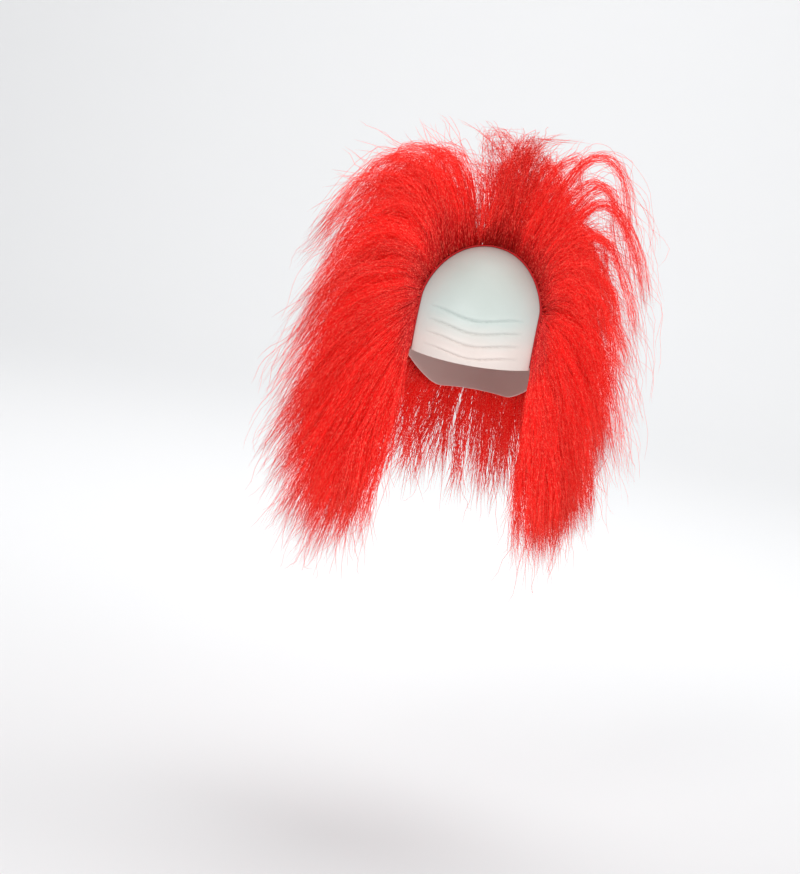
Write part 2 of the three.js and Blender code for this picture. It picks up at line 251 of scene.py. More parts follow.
later = TURNS > 60
over_edge = hairline_at(TURNS[later])[:, 2] - hair_edge(TEMPLE)[2]
TEMPLE_TURN = float(np.interp(0, -over_edge, TURNS[later]))
temple = hairline_at(np.array(TEMPLE_TURN))
TEMPLE_SIDE = math.degrees(math.atan2(temple[0], -temple[1]))


def scalp_at(around, along):
    near = hairline_at(around * TEMPLE_TURN)
    far = hair_edge(180 - (180 - TEMPLE_SIDE - BASE_END) * around)
    turn = np.arccos(np.clip((near * far).sum(-1), -1, 1))[..., None]
    along = np.asarray(along)[..., None]
    return (near * np.sin((1 - along) * turn) + far * np.sin(along * turn)) / np.sin(turn)


print("temple at", round(TEMPLE_TURN, 2), "degrees round the patch")
print("temple at", round(TEMPLE_SIDE, 2), "degrees round the head")

# %% [markdown]
# ## Helpers for finishes
#
# A finish is a small tree of shader nodes. These helpers add one node with its settings, and join
# two sockets, so that each material below reads as a short list of steps.

# %% Node helpers


def new_finish(name):
    material = bpy.data.materials.new(name)
    material.use_nodes = True
    return material, material.node_tree.nodes["Principled BSDF"]


def add_node(tree, kind, values=(), **settings):
    node = tree.nodes.new(kind)
    for key, value in settings.items():
        setattr(node, key, value)
    for key, value in dict(values).items():
        node.inputs[key].default_value = value
    return node


def join(tree, source, target):
    tree.links.new(source, target)


def ramp_between(tree, stops):
    ramp = add_node(tree, "ShaderNodeValToRGB")
    while len(ramp.color_ramp.elements) < len(stops):
        ramp.color_ramp.elements.new(0.5)
    for element, (place, colour) in zip(ramp.color_ramp.elements, stops):
        element.position = place
        element.color = (*colour, 1)
    return ramp


def linear(red, green, blue):
    """A colour as it looks on a screen, 0 to 255, in the linear values that shaders use."""
    shares = [channel / 255 for channel in (red, green, blue)]
    return tuple(c / 12.92 if c <= 0.04045 else ((c + 0.055) / 1.055) ** 2.4 for c in shares)


print("screen white is", linear(255, 255, 255))

# %% [markdown]
# Latex and woven cloth both vary a little from place to place. That is one node group: two sizes
# of noise, mixed, and put out as a mask from 0 to 1 and as a height.

# %% Mottle group


def mottle_group():
    group = bpy.data.node_groups.new("mottle", "ShaderNodeTree")
    for name, default in (("Broad Scale", 20.0), ("Fine Scale", 400.0), ("Fine Share", 0.4)):
        socket = group.interface.new_socket(name, in_out="INPUT", socket_type="NodeSocketFloat")
        socket.default_value = default
    group.interface.new_socket("Mask", in_out="OUTPUT", socket_type="NodeSocketFloat")
    group.interface.new_socket("Fine", in_out="OUTPUT", socket_type="NodeSocketFloat")
    inside = add_node(group, "NodeGroupInput")
    out = add_node(group, "NodeGroupOutput")
    place = add_node(group, "ShaderNodeTexCoord")
    broad = add_node(group, "ShaderNodeTexNoise", {"Detail": 3.0})
    fine = add_node(group, "ShaderNodeTexNoise", {"Detail": 5.0, "Roughness": 0.6})
    mixed = add_node(group, "ShaderNodeMix")
    for noise, name in ((broad, "Broad Scale"), (fine, "Fine Scale")):
        join(group, place.outputs["Object"], noise.inputs["Vector"])
        join(group, inside.outputs[name], noise.inputs["Scale"])
    join(group, inside.outputs["Fine Share"], mixed.inputs["Factor"])
    join(group, broad.outputs["Fac"], mixed.inputs["A"])
    join(group, fine.outputs["Fac"], mixed.inputs["B"])
    join(group, mixed.outputs["Result"], out.inputs["Mask"])
    join(group, fine.outputs["Fac"], out.inputs["Fine"])
    return group


MOTTLE = mottle_group()


def add_mottle(tree, broad, fine, fine_share):
    node = add_node(tree, "ShaderNodeGroup", node_tree=MOTTLE)
    node.inputs["Broad Scale"].default_value = broad
    node.inputs["Fine Scale"].default_value = fine
    node.inputs["Fine Share"].default_value = fine_share
    return node


print("node group", MOTTLE.name)

# %% [markdown]
# ## The bald cap
#
# The cap is dipped latex: one smooth skin with a soft sheen, cut off at the brow and longer at the
# nape. It starts as a sphere of quads whose lower half is cut away. Each point keeps its compass
# direction and slides down to the cap's own edge, so the quads stay even. The forehead gets finer
# quads, because the moulded creases there are only a few millimetres wide.

# %% Cap skin
CAP_SEGMENTS = 112
CAP_RINGS = 56
CAP_EDGE = 0.0004
FOREHEAD_CUTS = 5
CREASE_COUNT = 4
CREASE_FIRST = 0.0095
CREASE_PITCH = 0.012
CREASE_SPAN = 0.092
CREASE_MARGIN = 0.004  # fine quads beyond the ends of the creases
CREASE_WAVE = 0.002
CREASE_BENDS = 1.25
CREASE_RISE = 0.0009
CREASE_SINK = 0.0009
FOLD_WIDTH = 0.0026
GROOVE_WIDTH = 0.0008


def unit_direction(point):
    direction = (np.array(point) - HEAD_MIDDLE) / HEAD_HALF
    return direction / np.linalg.norm(direction)


def crease_height(x, height):
    """How far the skin stands out at a place on the forehead."""
    across = x / (CREASE_SPAN / 2)
    if abs(across) >= 1:
        return 0
    fade = math.sqrt(1 - across**2)
    total = 0
    for i in range(CREASE_COUNT):
        line = CREASE_FIRST + i * CREASE_PITCH - CREASE_WAVE * math.cos(across * math.pi * CREASE_BENDS)
        above = height - line
        total += CREASE_RISE * math.exp(-((above / FOLD_WIDTH) ** 2)) if above > 0 else 0
        total += CREASE_RISE * math.exp(-((above / FOLD_WIDTH * 2) ** 2)) if above <= 0 else 0
        total -= (CREASE_SINK + CREASE_RISE) * math.exp(-(((above + FOLD_WIDTH / 2) / GROOVE_WIDTH) ** 2))
    return total * fade


def cap_skin():
    made = bmesh.new()
    bmesh.ops.create_uvsphere(made, u_segments=CAP_SEGMENTS, v_segments=CAP_RINGS, radius=1)
    everything = made.verts[:] + made.edges[:] + made.faces[:]
    equator = {"plane_co": (0, 0, 0), "plane_no": (0, 0, 1), "dist": 1e-4}
    bmesh.ops.bisect_plane(made, geom=everything, clear_inner=True, **equator)
    for vert in made.verts:
        side = math.degrees(math.atan2(vert.co.x, -vert.co.y))
        down = math.degrees(math.acos(max(-1, min(1, vert.co.z)))) / 90 * float(edge_down(side))
        vert.co = shell(head_direction(side, down), 0)
    forehead = [
        face.edges
        for face in made.faces
        if abs(face.calc_center_median().x) < CREASE_SPAN / 2 + CREASE_MARGIN
        and face.calc_center_median().y < 0
        and face.calc_center_median().z < HEAD_MIDDLE[2] + CREASE_FIRST + CREASE_COUNT * CREASE_PITCH
    ]
    edges = list({edge for ring in forehead for edge in ring})
    bmesh.ops.subdivide_edges(made, edges=edges, cuts=FOREHEAD_CUTS, use_grid_fill=True)
    for vert in made.verts:
        direction = unit_direction(vert.co)
        proud = CAP_WALL
        if vert.co.y < 0:
            proud += crease_height(vert.co.x, vert.co.z - HEAD_MIDDLE[2])
        vert.co = shell(direction, proud)
    bmesh.ops.recalc_face_normals(made, faces=made.faces)
    return made


cap = object_from(cap_skin(), "latex_cap")
wall = cap.modifiers.new("wall", "SOLIDIFY")
wall.thickness = CAP_WALL
wall.offset = -1
rounding = cap.modifiers.new("rounding", "BEVEL")
rounding.width = CAP_EDGE
rounding.segments = 2
rounding.limit_method = "ANGLE"
rounding.angle_limit = math.radians(60)
print("cap skin", len(cap.data.polygons), "faces before its wall")

# %% [markdown]
# Latex is greyish white and slightly see-through at the surface, with faint cloudy patches. Up the cap
# the colour runs from a warm pinkish white at the brow, which is painted reflection of the red hair,
# to a darker grey at the crown, which is painted shade. The mottle shifts the colour a little, the
# roughness more, and drives a shallow bump.

# %% Latex finish
# The brow colour is painted reflection of the red hair and the crown colour is painted shade; the forehead
# colour is the latex's own.
LATEX_BROW_RED_REFLECTION = linear(218, 205, 199)
LATEX_FOREHEAD = linear(191, 200, 196)
LATEX_CROWN_SHADE = linear(175, 181, 175)
CLOUDS = 0.35  # how far the mottle shifts the colour up or down the cap


def latex_finish():
    material, shader = new_finish("latex")
    tree = material.node_tree
    mottle = add_mottle(tree, broad=14, fine=900, fine_share=0.25)
    place = add_node(tree, "ShaderNodeTexCoord")
    split = add_node(tree, "ShaderNodeSeparateXYZ")
    join(tree, place.outputs["Object"], split.inputs["Vector"])
    up_cap = add_node(tree, "ShaderNodeMapRange", {"From Min": HEAD_MIDDLE[2], "From Max": 0.0})
    join(tree, split.outputs["Z"], up_cap.inputs["Value"])
    clouded = add_node(tree, "ShaderNodeMath", operation="MULTIPLY_ADD")
    clouded.inputs[1].default_value = CLOUDS
    join(tree, mottle.outputs["Mask"], clouded.inputs[0])
    join(tree, up_cap.outputs["Result"], clouded.inputs[2])
    # Colour up the cap: painted reflection at the brow, the latex's own on the forehead, painted shade at
    # the crown.
    ramp = ramp_between(tree, [(0.34, LATEX_BROW_RED_REFLECTION), (0.6, LATEX_FOREHEAD), (1.0, LATEX_CROWN_SHADE)])
    join(tree, clouded.outputs["Value"], ramp.inputs["Fac"])
    join(tree, ramp.outputs["Color"], shader.inputs["Base Color"])
    rough = add_node(tree, "ShaderNodeMapRange", {"To Min": 0.36, "To Max": 0.52})
    join(tree, mottle.outputs["Mask"], rough.inputs["Value"])
    join(tree, rough.outputs["Result"], shader.inputs["Roughness"])
    bump = add_node(tree, "ShaderNodeBump", {"Strength": 0.15, "Distance": 0.0003})
    join(tree, mottle.outputs["Fine"], bump.inputs["Height"])
    join(tree, bump.outputs["Normal"], shader.inputs["Normal"])
    shader.inputs["Specular IOR Level"].default_value = 0.4
    return material


cap.data.materials.append(latex_finish())
print("latex finish", LATEX_BROW_RED_REFLECTION, LATEX_CROWN_SHADE)

# %% [markdown]
# ## The woven base
#
# Hair is sewn to a strip of woven cloth, which is glued round the cap. It shows as a dark line
# along the hairline and between the roots. A flat grid is laid over the head by its two numbers,
# around and along, and gets its thickness from a Solidify modifier.

# %% Woven base
HAIR_BASE = 0.0022
HAIR_GAP = 0.0003
CLOTH_THICK = HAIR_BASE * 0.6
BASE_INSET = 0.002  # of the way from hairline to edge


def woven_base():
    made = bmesh.new()
    bmesh.ops.create_grid(made, x_segments=96, y_segments=16, size=1)
    verts = list(made.verts)
    around = np.array([vert.co.x for vert in verts])
    along = np.array([(vert.co.y + 1) / 2 for vert in verts])
    inset = BASE_INSET + along * (1 - 2 * BASE_INSET)
    places = shell(scalp_at(around, inset), CAP_WALL + HAIR_GAP + CLOTH_THICK)
    for vert, place in zip(verts, places):
        vert.co = place
    bmesh.ops.recalc_face_normals(made, faces=made.faces)
    if sum(face.normal.dot(face.calc_center_median() - Vector(HEAD_MIDDLE)) for face in made.faces) < 0:
        bmesh.ops.reverse_faces(made, faces=made.faces)
    return made


base = object_from(woven_base(), "woven_base")
thickness = base.modifiers.new("thickness", "SOLIDIFY")
thickness.thickness = CLOTH_THICK
thickness.offset = -1
print("woven base", len(base.data.polygons), "faces")

# %% [markdown]
# ## Curves of the hair
#
# The hair is stiff and light, so each lock is thrown up and out from its root and then falls. The
# two tables say where the tips of the front row and of the last row come to lie, as shares of
# three named sizes, and every lock between them is worked out from both. A lock is a curve with
# three handles: its root, the height that it is thrown to, and its tip.

# %% Tips of the hair
HAIR_RISE = 0.125
HAIR_DROP = 0.345
HAIR_SPREAD = 0.205
Tip = namedtuple("Tip", "around out tip rise straight")
FRONT_TIPS = [
    Tip(-1.0, -0.34, -0.92, 0, 0.9),
    Tip(-0.94, -0.62, -1, 0, 0.75),
    Tip(-0.87, -0.86, -0.93, 0, 0.6),
    Tip(-0.78, -1, -0.76, 0, 0.45),
    Tip(-0.68, -1, -0.56, 0.1, 0.25),
    Tip(-0.56, -0.96, -0.34, 0.28, 0.1),
    Tip(-0.42, -0.92, -0.1, 0.59, 0),
    Tip(-0.28, -0.8, 0.06, 0.8, 0),
    Tip(-0.16, -0.64, 0.12, 0.78, 0),
    Tip(-0.1, -0.48, 0.15, 0.76, 0),
    Tip(-0.06, -0.06, 0.31, 0.84, 0.3),
    Tip(0.06, 0.13, 0.31, 0.87, 0.2),
    Tip(0.12, 0.36, 0.22, 0.88, 0),
    Tip(0.28, 0.72, 0.12, 1, 0),
    Tip(0.42, 0.84, -0.05, 0.77, 0),
    Tip(0.56, 0.84, -0.28, 0.4, 0.1),
    Tip(0.68, 0.84, -0.48, 0.14, 0.25),
    Tip(0.78, 0.76, -0.64, 0, 0.45),
    Tip(0.87, 0.64, -0.76, 0, 0.6),
    Tip(0.94, 0.5, -0.87, 0, 0.75),
    Tip(1.0, 0.35, -0.84, 0, 0.9),
]
NAPE_TIPS = [
    Tip(-1, 0.64, -0.84, 0, 0.6),
    Tip(-0.5, 0.76, -0.84, 0, 0.5),
    Tip(0, 0.8, -0.88, 0, 0.5),
    Tip(0.5, 0.74, -0.82, 0, 0.5),
    Tip(1, 0.62, -0.8, 0, 0.6),
]


def table_at(table, around):
    """A table's columns at places round the patch, between the rows on either side."""
    columns = Tip(*(np.array(column, float) for column in zip(*table)))
    return Tip(*(np.interp(around, columns.around, column) for column in columns))


def mix(a, b, share):
    return a + (b - a) * share


def lock_handles(around, along, full, length):
    """Root, middle handle and tip of each lock, as three arrays of points."""
    root = shell(scalp_at(around, along), CAP_WALL + HAIR_GAP + HAIR_BASE / 2)
    front, nape = table_at(FRONT_TIPS, around), table_at(NAPE_TIPS, around)
    turn = np.radians(around * TEMPLE_TURN)
    tip_x = mix(front.out, nape.out * np.sin(turn), along) * HAIR_SPREAD
    tip_y = mix(root[:, 1], nape.out * np.cos(turn) * HAIR_SPREAD, along)
    tip_z = mix(front.tip, nape.tip, along) * HAIR_DROP
    tip = np.stack([mix(root[:, 0], tip_x, full), mix(root[:, 1], tip_y, full), tip_z], axis=-1)
    tip = mix(root, tip, length[:, None])
    fall = tip[:, 2] - root[:, 2]
    rise = np.maximum(mix(front.rise, nape.rise, along) * HAIR_RISE * full, np.maximum(fall, 0))
    throw_up = 2 * rise + 2 * np.sqrt(rise * (rise - fall))
    middle = (root + tip) / 2
    middle[:, 2] = root[:, 2] + mix(throw_up, fall, mix(front.straight, nape.straight, along)) / 2
    return root, middle, tip


print("front row", len(FRONT_TIPS), "tips, last row", len(NAPE_TIPS))

# %% [markdown]
# ## Strands
#
# Hair could be a particle system, but a finished model needs real meshes. So each strand is a thin
# three-sided tube that closes to a point, and all the strands of a tuft are one mesh, made from
# arrays. What makes it read as hair is how strands gather: each belongs to a clump, draws in
# towards it along its length, sways with it, and then has some crimp of its own.

# %% Strand shapes
STRAND_SIDES = 3
PINCH = 0.42  # how much of the way a strand draws in to its clump at its tip


def strand_points(handles, steps):
    root, middle, tip = (part[:, None, :] for part in handles)
    s = np.linspace(0, 1, steps)[None, :, None]
    return root * (1 - s) ** 2 + middle * 2 * s * (1 - s) + tip * s**2


def sway(rng, count, steps, lengths, size, wavelength):
    """Smooth wandering along each strand, zero at its root: count by steps by 3."""
    shares = np.linspace(0, 1, steps)
    total = np.zeros((count, steps, 3))
    for octave in (1.0, 1.9):
        waves = (lengths / wavelength * octave)[:, None, None]
        phase = rng.uniform(0, 2 * np.pi, (count, 1, 3))
        push = rng.normal(0, 1 / octave, (count, 1, 3)) * np.reshape(size, (-1, 1, 1))
        angle = 2 * np.pi * waves * shares[None, :, None] + phase
        total += push * (np.sin(angle) - np.sin(phase))
    return total * (shares[None, :, None] ** 0.8)


def strand_frames(points):
    """The direction of each strand at every step, and two more that are square to it."""
    along = np.gradient(points, axis=1)
    along /= np.linalg.norm(along, axis=2, keepdims=True)
    side = np.empty_like(along)
    carried = np.cross(along[:, 0], (0.31, 0.52, 0.8)) + 1e-6
    for step in range(points.shape[1]):
        forward = along[:, step]
        carried = carried - forward * (forward * carried).sum(1, keepdims=True)
        carried = carried / np.linalg.norm(carried, axis=1, keepdims=True)
        side[:, step] = carried
    return along, side, np.cross(along, side)


def curled(rng, points, size, pitch):
    """Winds each strand round its own path, more towards its tip."""
    _, side, face = strand_frames(points)
    pieces = np.linalg.norm(np.diff(points, axis=1), axis=2)
    travelled = np.concatenate([np.zeros((len(points), 1)), np.cumsum(pieces, axis=1)], axis=1)
    angle = 2 * np.pi * travelled / pitch[:, None] + rng.uniform(0, 2 * np.pi, (len(points), 1))
    reach = size[:, None] * np.linspace(0, 1, points.shape[1]) ** 0.6
    return points + (side * np.cos(angle)[..., None] + face * np.sin(angle)[..., None]) * reach[..., None]


print("strands have", STRAND_SIDES, "sides")

# %% [markdown]
# Two limits keep the hair in its place. It stays out of the cap and of the room for a head and neck
# in and below it. Where a wisp would stray far outside the wig's overall size, it is drawn back.

# %% Limits of the hair
NECK_TAPER = 0.06  # how fast the free space narrows below the cap
STRAY = np.array((0.016, 0.013, 0.018))  # how far a wisp may stray past the overall size


def clear_of_head(points, room):
    outer = HEAD_HALF + room[:, None, None]
    height = (points[..., 2] - HEAD_MIDDLE[2]) / outer[..., 2]
    above = np.sqrt(np.clip(1 - height**2, 0, 1))
    below = np.clip(1 + height * NECK_TAPER, 0.78, 1)
    girth = np.where(height > 0, above, below)
    flat = points[..., :2] / outer[..., :2]
    reach = np.hypot(flat[..., 0], flat[..., 1])
    push = np.where((height < 1) & (reach < girth), girth / np.maximum(reach, 1e-6), 1)
    points[..., :2] *= push[..., None]
    return points


def drawn_back(points):
    low, high = (np.array(corner) for corner in CAD_BOX)
    over, under = np.maximum(points - high, 0), np.maximum(low - points, 0)
    points = points - over + STRAY * (1 - np.exp(-over / STRAY))
    return points + under - STRAY * (1 - np.exp(-under / STRAY))


print("wisps may stray", STRAY, "past", [tuple(round(x, 3) for x in corner) for corner in CAD_BOX])

# %% [markdown]
# Every tube is made the same way: a ring of corners round each step of its path, joined to the next
# ring, and one point at the tip. The UV map called strand keeps two numbers for the finish: how
# light this strand is, and how far along the hair each place lies.

# %% Strand mesh


def tube_mesh(name, points, width, tone, place):
    """Points: strand by step by 3. Width and place: strand by step. Tone: one for a strand."""
    count, steps, _ = points.shape
    _, side, face = strand_frames(points)
    rings = steps - 1
    corners = np.arange(STRAND_SIDES) * 2 * np.pi / STRAND_SIDES
    around = side[:, :rings, None] * np.cos(corners)[None, None, :, None]
    around = around + face[:, :rings, None] * np.sin(corners)[None, None, :, None]
    ring_points = points[:, :rings, None] + around * width[:, :rings, None, None]
    verts = np.concatenate([ring_points.reshape(count, -1, 3), points[:, -1:]], axis=1)
    per_strand = verts.shape[1]

    k = np.arange(STRAND_SIDES)
    after = (k + 1) % STRAND_SIDES
    ring = np.arange(rings - 1)[:, None] * STRAND_SIDES
    above = ring + STRAND_SIDES
    quads = np.stack([ring + k, ring + after, above + after, above + k], axis=-1)
    last = (rings - 1) * STRAND_SIDES
    ends = np.stack([last + k, last + after, np.full(STRAND_SIDES, per_strand - 1)], axis=-1)
    start = np.array([[2, 1, 0]])
    one = np.concatenate([quads.ravel(), ends.ravel(), start.ravel()])
    loops = (one[None, :] + (np.arange(count) * per_strand)[:, None]).ravel()
    sizes = np.tile(np.array([4] * (quads.size // 4) + [3] * (STRAND_SIDES + 1)), count)

    mesh = bpy.data.meshes.new(name)
    mesh.vertices.add(count * per_strand)
    mesh.vertices.foreach_set("co", verts.astype(np.float32).ravel())
    mesh.loops.add(len(loops))
    mesh.loops.foreach_set("vertex_index", loops.astype(np.int32))
    mesh.polygons.add(len(sizes))
    mesh.polygons.foreach_set("loop_start", np.concatenate([[0], np.cumsum(sizes)[:-1]]).astype(np.int32))
    mesh.polygons.foreach_set("loop_total", sizes.astype(np.int32))
    mesh.polygons.foreach_set("use_smooth", np.ones(len(sizes), bool))
    vert_place = np.concatenate([np.repeat(place[:, :rings], STRAND_SIDES, axis=1), place[:, -1:]], axis=1)
    uv = np.stack([np.repeat(tone, len(one)), vert_place[:, one].ravel()], axis=-1)
    mesh.update(calc_edges=True)
    mesh.uv_layers.new(name="strand").uv.foreach_set("vector", uv.astype(np.float32).ravel())
    mesh.validate()
    return mesh, int((sizes - 2).sum())


print("a strand of n steps has", 2 * STRAND_SIDES, "n -", 3 * STRAND_SIDES - 1, "triangles")

# %% [markdown]
# ## The tufts
#
# Five tufts go round the cap, as five solids do in the model. The table gives each one's stretch
# of the scalp, how close to the head its lowest clumps lie, how its hair falls off towards the far
# edge of the stretch, how few clumps reach right out (above 1) or how many (below 1), how many
# strands, frizzy fibres, curly wisps and clumps it has, and how much coarser its strands are.

# %% Tufts
CROWN_END = 0.36
FRONT_BAND = 0.42
BACK_BAND = 0.72
Tuft = namedtuple(
    "Tuft", "name begin end near far low far_full thinning strands frizz wisps clumps coarseness"
)
TUFTS = [
    Tuft("hair_crown", -CROWN_END, CROWN_END, 0.0, FRONT_BAND, 0.7, 0.95, 0.7, 2800, 2000, 110, 90, 1.0),
    Tuft("hair_right", -1.0, -CROWN_END, 0.0, FRONT_BAND, 0.88, 0.8, 0.5, 3000, 2300, 50, 110, 1.0),
    Tuft("hair_left", CROWN_END, 1.0, 0.0, FRONT_BAND, 0.74, 0.75, 0.9, 2700, 2000, 130, 110, 1.0),
    Tuft("hair_back", -1.0, 1.0, FRONT_BAND, BACK_BAND, 0.75, 1.0, 0.8, 2300, 1100, 20, 110, 1.2),
    Tuft("hair_nape", -1.0, 1.0, BACK_BAND, 1.0, 0.6, 1.0, 0.8, 3300, 1500, 20, 220, 1.7),
]
STRAND_STEPS = 8
STRAND_RADIUS = 0.0003
CLUMP_SWAY = 0.0045
STRAND_SWAY = 0.0026
RAGGED_PLACE = 0.03  # middle of the ragged tuft over the top of the patch
RAGGED_WIDTH = 0.09
RAGGED_SWAY = 1.6
# Painted shade: the ragged tuft's strands are made darker, as it stands back in the shade of the crown.
RAGGED_PAINTED_SHADE = 0.3
HAIRLINE_CROWDING = 1.3
NAPE_CROWDING = 0.75
DENSE_HAIR = [
    # place round the patch, share: a parting beside the ragged tuft, and the thin left side
    (-0.1, 1.0),
    (-0.07, 0.6),
    (-0.04, 1.0),
    (0.09, 1.0),
    (0.16, 0.56),
    (0.28, 0.5),
    (0.42, 0.62),
    (0.56, 0.84),
    (0.66, 1.0),
]


def spread_over(rng, tuft, count):
    """Even but random places in a tuft's stretch of the scalp, denser by the hairline and the nape."""
    around = rng.uniform(tuft.begin, tuft.end, count)
    crowding = HAIRLINE_CROWDING if tuft.far < 1 else NAPE_CROWDING
    along = tuft.near + (tuft.far - tuft.near) * rng.uniform(0, 1, count) ** crowding
    return around, along


def dense_reach(around):
    """Share of the way out that the dense hair goes. Past it, only single locks and wisps do."""
    places, shares = zip(*DENSE_HAIR)
    return np.interp(around, places, shares)


def raggedness(tuft, around, along):
    """One in the middle of the ragged tuft that stands up at the front, zero elsewhere."""
    if tuft.near > 0:
        return np.zeros(len(around))
    beside = (around - RAGGED_PLACE) / RAGGED_WIDTH
    return np.exp(-(beside**4)) * np.clip(1 - along / FRONT_BAND, 0, 1)


def lengths_of(points):
    return np.linalg.norm(np.diff(points, axis=1), axis=2).sum(1)


def tuft_strands(tuft, rng):
    clump_around, clump_along = spread_over(rng, tuft, tuft.clumps)
    around, along = spread_over(rng, tuft, tuft.strands)
    apart = np.hypot((around[:, None] - clump_around) * 3, along[:, None] - clump_along)
    clump = np.argmin(apart + rng.uniform(0, 0.08, apart.shape), axis=1)

    lift = tuft.low + (1.04 - tuft.low) * rng.uniform(0, 1, tuft.clumps) ** tuft.thinning
    ragged = raggedness(tuft, clump_around, clump_along)
    lift = mix(lift, 0.93 + 0.1 * lift, ragged)
    clump_full = lift * mix(1, tuft.far_full, (clump_along - tuft.near) / (tuft.far - tuft.near))
    clump_full *= dense_reach(clump_around)
    clump_length = rng.uniform(0.88, 1.06, tuft.clumps)
    gathered = lock_handles(clump_around, clump_along, clump_full, clump_length)
    own_length = clump_length[clump] * rng.uniform(0.88, 1.1, tuft.strands)
    own_full = clump_full[clump] * rng.uniform(0.86, 1.06, tuft.strands)
    own = lock_handles(around, along, own_full, own_length)

    pinch = (PINCH * rng.uniform(0.2, 1.6, tuft.strands))[:, None]
    offset = own[0] - gathered[0][clump]
    loose = rng.normal(0, 0.005, (tuft.strands, 3))
    middle = mix(own[1], gathered[1][clump] + offset * 0.8, pinch * 0.7)
    tip = mix(own[2], gathered[2][clump] + offset * 0.5 + loose, pinch)
    points = strand_points((own[0], middle, tip), STRAND_STEPS)
    lengths = lengths_of(points)
    wild = 1 + RAGGED_SWAY * ragged
    together = np.full(tuft.clumps, lengths.mean())
    points += sway(rng, tuft.clumps, STRAND_STEPS, together, CLUMP_SWAY * wild, 0.16)[clump]
    loose_sway = STRAND_SWAY * wild[clump] * rng.lognormal(0, 0.5, tuft.strands)
    points += sway(rng, tuft.strands, STRAND_STEPS, lengths, loose_sway, 0.09)
    tone = rng.normal(0.5, 0.1, tuft.clumps)[clump] + rng.normal(0, 0.16, tuft.strands)
    # Painted shade: darker in the ragged tuft.
    return points, np.clip(tone - RAGGED_PAINTED_SHADE * ragged[clump], 0.02, 0.98)


print("tufts", [tuft.name for tuft in TUFTS], "strands", sum(tuft.strands for tuft in TUFTS))

# %% [markdown]
# The fibre is crimped, so the mass is full of short bits of hair that cross the main direction. Each
# starts on a strand, sets off a little askew, and curls. Curly wisps do the same over the whole
# length of a lock, and reach furthest out, which leaves the outline thin and see-through.

# %% Frizz and wisps
FRIZZ_STEPS = 6
FRIZZ_SPLAY = 0.12
FRIZZ_BEND = 0.13
FRIZZ_RADIUS = 0.00026
WISP_STEPS = 30
WISP_RADIUS = 0.00024


def frizz_fibres(rng, points, tone, count):
    parent = rng.integers(0, len(points), count)
    start = rng.uniform(0.12, 0.9, count) * (STRAND_STEPS - 1)
    step = start.astype(int)
    part = (start - step)[:, None]
    here, there = points[parent, step], points[parent, step + 1]
    heading = (there - here) / np.linalg.norm(there - here, axis=1, keepdims=True)
    heading = heading + rng.normal(0, FRIZZ_SPLAY, (count, 3))
    length = rng.uniform(0.03, 0.06, count)[:, None, None]
    bend = rng.normal(0, FRIZZ_BEND, (count, 1, 3)) + np.array((0, 0, -0.05))
    t = np.linspace(0, 1, FRIZZ_STEPS)[None, :, None]
    fibres = mix(here, there, part)[:, None, :] + length * (heading[:, None, :] * t + bend * t * t)
    fibres = curled(rng, fibres, rng.uniform(0.0006, 0.0022, count), rng.uniform(0.018, 0.034, count))
    place = (start[:, None] / (STRAND_STEPS - 1)) + 0.15 * np.linspace(0, 1, FRIZZ_STEPS)
    return fibres, np.clip(tone[parent] + rng.normal(0.06, 0.12, count), 0.02, 0.98), np.minimum(place, 1)


def curly_wisps(rng, tuft):
    around, along = spread_over(rng, tuft, tuft.wisps)
    full, length = rng.uniform(0.88, 1.1, tuft.wisps), rng.uniform(0.9, 1.12, tuft.wisps)
    points = strand_points(lock_handles(around, along, full, length), WISP_STEPS)
    points += sway(rng, tuft.wisps, WISP_STEPS, lengths_of(points), 0.006, 0.12)
    size = rng.uniform(0.001, 0.005, tuft.wisps)
    return curled(rng, points, size, rng.uniform(0.045, 0.09, tuft.wisps))


print("frizz fibres have", FRIZZ_STEPS, "steps, wisps", WISP_STEPS)

# %% [markdown]
# High on the wearer's left the hair is thin: single locks arch out far past the dense part and the
# light shows between them. A few more make the ragged tuft over the top. Each row gives a lock's
# place round the patch, how far out it reaches, its length, how tangled it is and its strands.

# %% Loose locks
Loose = namedtuple("Loose", "around reach length tangle strands")
LOOSE_LOCKS = [
    Loose(-0.33, 1.06, 1.0, 0.8, 36),
    Loose(-0.26, 0.98, 1.0, 0.8, 30),
    Loose(-0.2, 1.06, 1.0, 0.8, 36),
    Loose(-0.14, 1.0, 0.95, 0.8, 26),
    Loose(-0.03, 0.96, 0.9, 2.6, 26),
    Loose(0.0, 1.0, 1.0, 2.6, 30),
    Loose(0.03, 0.96, 0.9, 3.0, 30),
    Loose(0.06, 1.02, 0.98, 2.6, 34),
    Loose(0.09, 0.96, 0.9, 3.0, 34),
    Loose(0.13, 0.9, 0.9, 1.4, 28),
    Loose(0.18, 1.0, 0.95, 0.8, 34),
    Loose(0.25, 1.04, 1.05, 0.6, 48),
    Loose(0.31, 0.9, 0.95, 0.8, 28),
    Loose(0.37, 0.97, 0.9, 1.0, 34),
    Loose(0.43, 1.0, 0.96, 0.6, 56),
    Loose(0.46, 0.9, 0.8, 1.2, 40),
    Loose(0.49, 0.98, 0.9, 0.8, 48),
    Loose(0.52, 0.9, 0.76, 1.2, 40),
    Loose(0.56, 1.0, 0.86, 0.8, 52),
    Loose(0.6, 1.02, 0.85, 0.8, 44),
]
LOOSE_STEPS = 14
LOOSE_ALONG = 0.06
TOGETHER = 0.88  # how far a strand's own way gives in to its lock's


